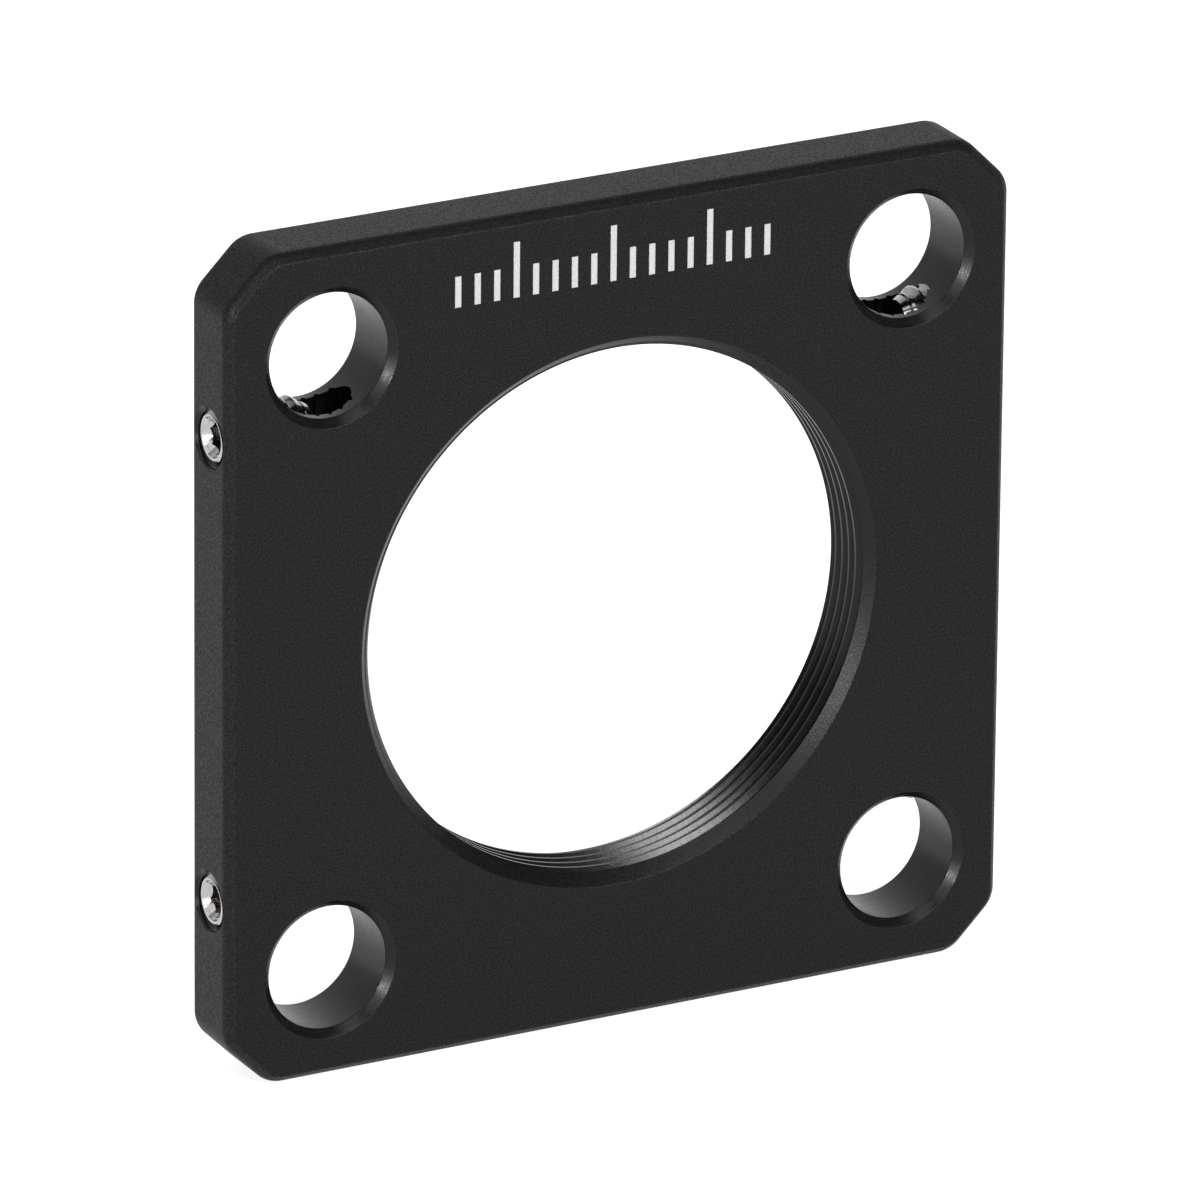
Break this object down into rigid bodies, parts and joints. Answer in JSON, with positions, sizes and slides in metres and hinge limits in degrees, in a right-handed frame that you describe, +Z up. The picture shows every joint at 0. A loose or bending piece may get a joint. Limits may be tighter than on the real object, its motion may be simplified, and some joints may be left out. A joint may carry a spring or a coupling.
{
  "type": "optical cage plate",
  "caption": "Thin square cage plate with a threaded centre bore, rod bores at its corners and headless set screws in its sides that clamp the rods.",
  "frame": {"origin": "on the optical axis, half way through the plate's thickness", "axes": "+Y along the optical axis to the back face, +X to the right and +Z up, seen from the front"},
  "size_m": [0.0406, 0.004, 0.0406],
  "materials": {
    "anodised_plate": "fine bead-blasted, black anodised",
    "screw_steel": "bright turned stainless steel"
  },
  "bodies": {
    "plate": {"plate": "anodised_plate"},
    "screw_upper_left": {"set_screw_upper_left": "screw_steel"},
    "screw_lower_left": {"set_screw_lower_left": "screw_steel"},
    "screw_upper_right": {"set_screw_upper_right": "screw_steel"},
    "screw_lower_right": {"set_screw_lower_right": "screw_steel"}
  },
  "joints": [
    {"name": "upper_left_advance", "type": "slide", "parent": "plate", "child": "screw_upper_left", "axis": [1, 0, 0], "range_m": [-0.00191, 0.00254]},
    {"name": "lower_left_advance", "type": "slide", "parent": "plate", "child": "screw_lower_left", "axis": [1, 0, 0], "range_m": [-0.00191, 0.00254]},
    {"name": "upper_right_advance", "type": "slide", "parent": "plate", "child": "screw_upper_right", "axis": [-1, 0, 0], "range_m": [-0.00191, 0.00254]},
    {"name": "lower_right_advance", "type": "slide", "parent": "plate", "child": "screw_lower_right", "axis": [-1, 0, 0], "range_m": [-0.00191, 0.00254]}
  ]
}
